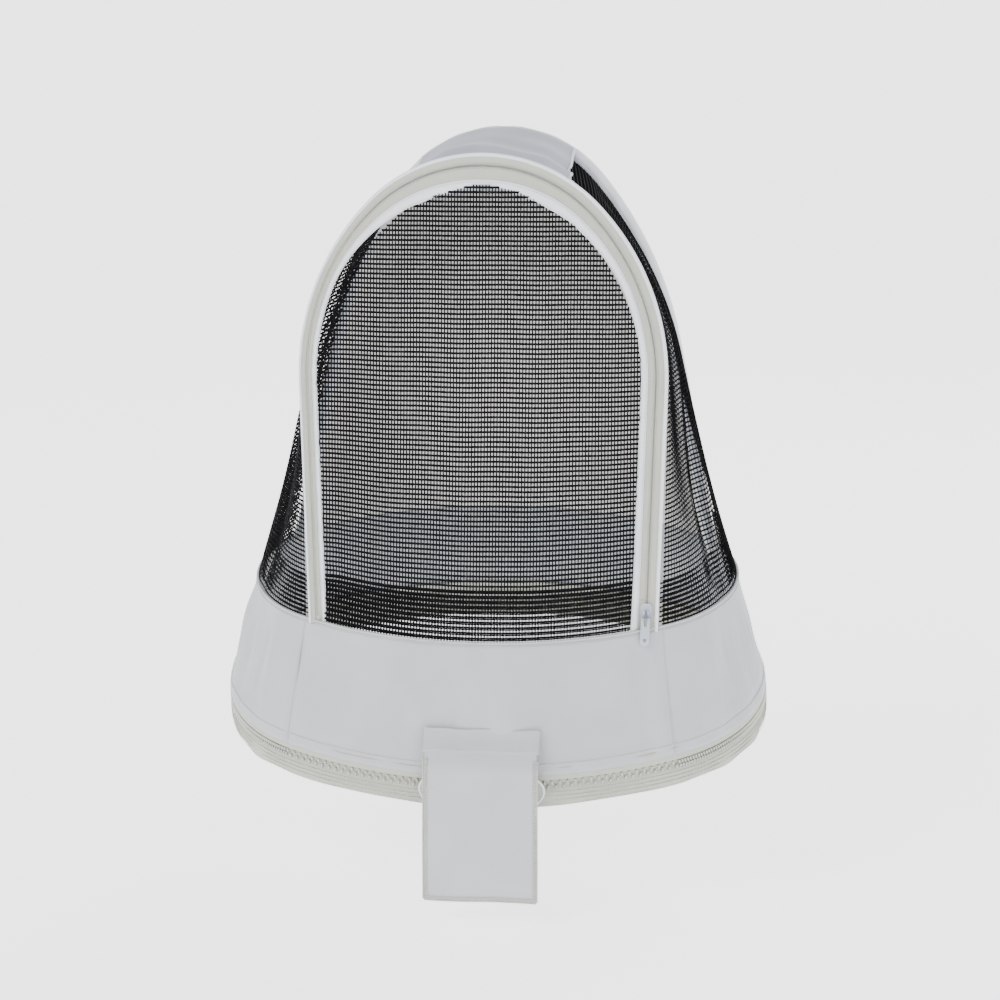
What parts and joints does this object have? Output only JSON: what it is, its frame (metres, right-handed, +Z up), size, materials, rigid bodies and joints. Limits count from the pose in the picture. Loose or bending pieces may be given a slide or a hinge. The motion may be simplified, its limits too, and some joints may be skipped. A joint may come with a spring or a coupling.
{
  "type": "beekeeping veil hood",
  "caption": "detachable fencing-style beekeeper's veil hood: sprung hoops, unzipping net face panel, net sides, cloth crown, back and neck skirt, collar zip and closure flap",
  "frame": {"origin": "centre of the collar zip's ring, on the parting line between its two rows of teeth", "axes": "+Z up as worn, the face looks along -Y, +X to the viewer's right when facing the hood"},
  "size_m": [0.4344, 0.3051, 0.5826],
  "materials": {
    "white_cloth": "plain woven poly-cotton, matt",
    "white_binding": "tight white twill binding",
    "black_net": "black woven polyester net",
    "zip_tape": "cream herringbone zip tape",
    "zip_coil": "cream polyester coil",
    "zip_teeth": "moulded cream teeth",
    "slider_metal": "pale grey lacquered zinc",
    "spring_steel": "drawn spring wire",
    "rod_caps": "moulded end caps",
    "hook_pad": "hook side of a hook-and-loop pad"
  },
  "bodies": {
    "root": {"front_hoop_rod": "spring_steel", "rear_hoop_rod": "spring_steel", "front_hoop_caps": "rod_caps", "rear_hoop_caps": "rod_caps", "front_channel": "white_binding", "rear_channel": "white_binding", "crown_panel": "white_cloth", "side_mesh_left": "black_net", "side_mesh_right": "black_net", "back_panel": "white_cloth", "skirt_front": "white_cloth", "skirt_back": "white_cloth", "collar_tape_upper": "zip_tape", "collar_teeth_upper": "zip_teeth", "collar_teeth_lower": "zip_teeth", "collar_tape_lower": "zip_tape", "collar_retainer_box": "zip_teeth", "collar_top_stops": "slider_metal", "zip_guard_patch": "white_binding", "zip_guard_piping": "zip_tape", "flap_anchor_patch": "white_cloth", "face_zip_outer_tape": "zip_tape", "face_zip_outer_coil": "zip_coil", "face_zip_stops": "slider_metal"},
    "face_panel": {"face_mesh": "black_net", "face_binding": "white_binding", "face_zip_inner_tape": "zip_tape", "face_zip_inner_coil": "zip_coil"},
    "face_slider": {"face_slider": "slider_metal"},
    "face_pull": {"face_pull": "slider_metal"},
    "flap": {"flap_panel": "white_cloth", "flap_binding": "zip_tape", "flap_hook_pad": "hook_pad"},
    "collar_slider": {"collar_slider": "slider_metal"},
    "collar_pull": {"collar_pull": "slider_metal"}
  },
  "joints": [
    {"name": "face_open", "type": "hinge", "parent": "root", "child": "face_panel", "pos_m": [0, -0.12664, 0.06087], "axis": [1, 0, 0], "range_deg": [0, 130]},
    {"name": "face_slide", "type": "slide", "parent": "root", "child": "face_slider", "axis": [0.0332, 0, 0.9995], "range_m": [0, 0.15]},
    {"name": "face_pull_lift", "type": "hinge", "parent": "face_slider", "child": "face_pull", "pos_m": [0.12706, -0.0996, 0.083], "axis": [-0.9995, 0, 0.0332], "range_deg": [0, 110]},
    {"name": "flap_lift", "type": "hinge", "parent": "root", "child": "flap", "pos_m": [0.006, -0.15, -0.018], "axis": [-1, 0, 0], "range_deg": [0, 70]},
    {"name": "collar_slide", "type": "hinge", "parent": "root", "child": "collar_slider", "pos_m": [0, 0.14852, 0.04825], "axis": [0, -0.309, 0.9511], "range_deg": [0, 24]},
    {"name": "collar_pull_swing", "type": "hinge", "parent": "collar_slider", "child": "collar_pull", "pos_m": [0.02973, -0.14515, -0.04716], "axis": [0.0958, -0.9467, -0.3076], "range_deg": [-60, 60]}
  ]
}
